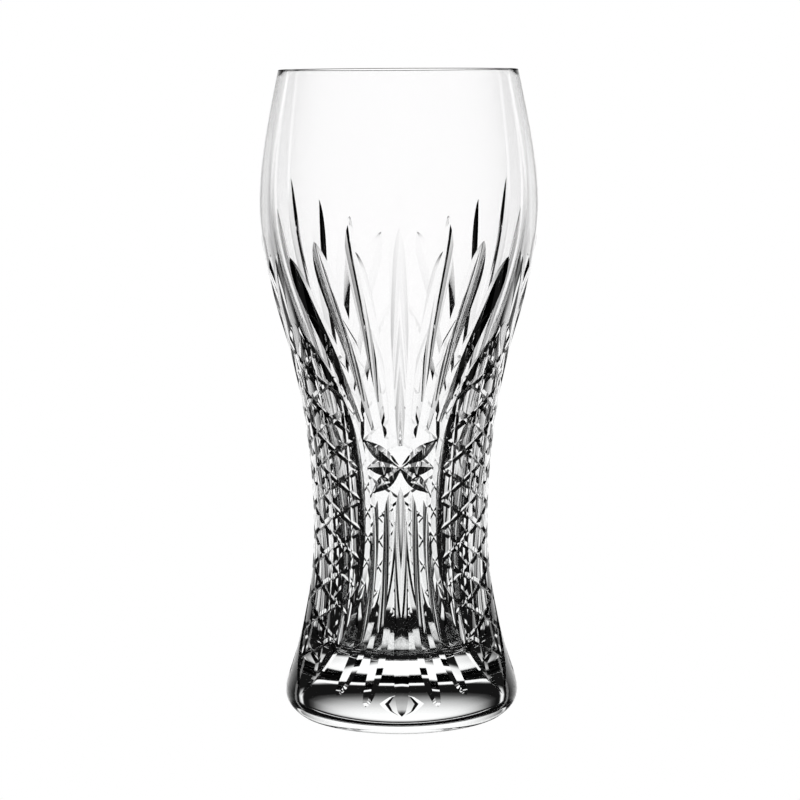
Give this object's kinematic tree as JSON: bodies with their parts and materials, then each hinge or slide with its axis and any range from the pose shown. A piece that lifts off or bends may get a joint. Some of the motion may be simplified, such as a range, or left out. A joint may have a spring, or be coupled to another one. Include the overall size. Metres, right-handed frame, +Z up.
{
  "type": "highball glass",
  "caption": "Tall footed highball glass in clear cut crystal, with a full bowl, a narrow waist, fans of rays and panels of crossing grooves.",
  "frame": {"origin": "middle of the flat underside of the foot, on the table", "axes": "+Z up along the axis of the glass; -Y is the middle of one cut panel, the side seen in the picture"},
  "size_m": [0.0856, 0.0857, 0.2],
  "materials": {
    "clear_crystal": "polished cut crystal, clear and colourless"
  },
  "bodies": {
    "root": {"glass_body": "clear_crystal"}
  },
  "joints": []
}
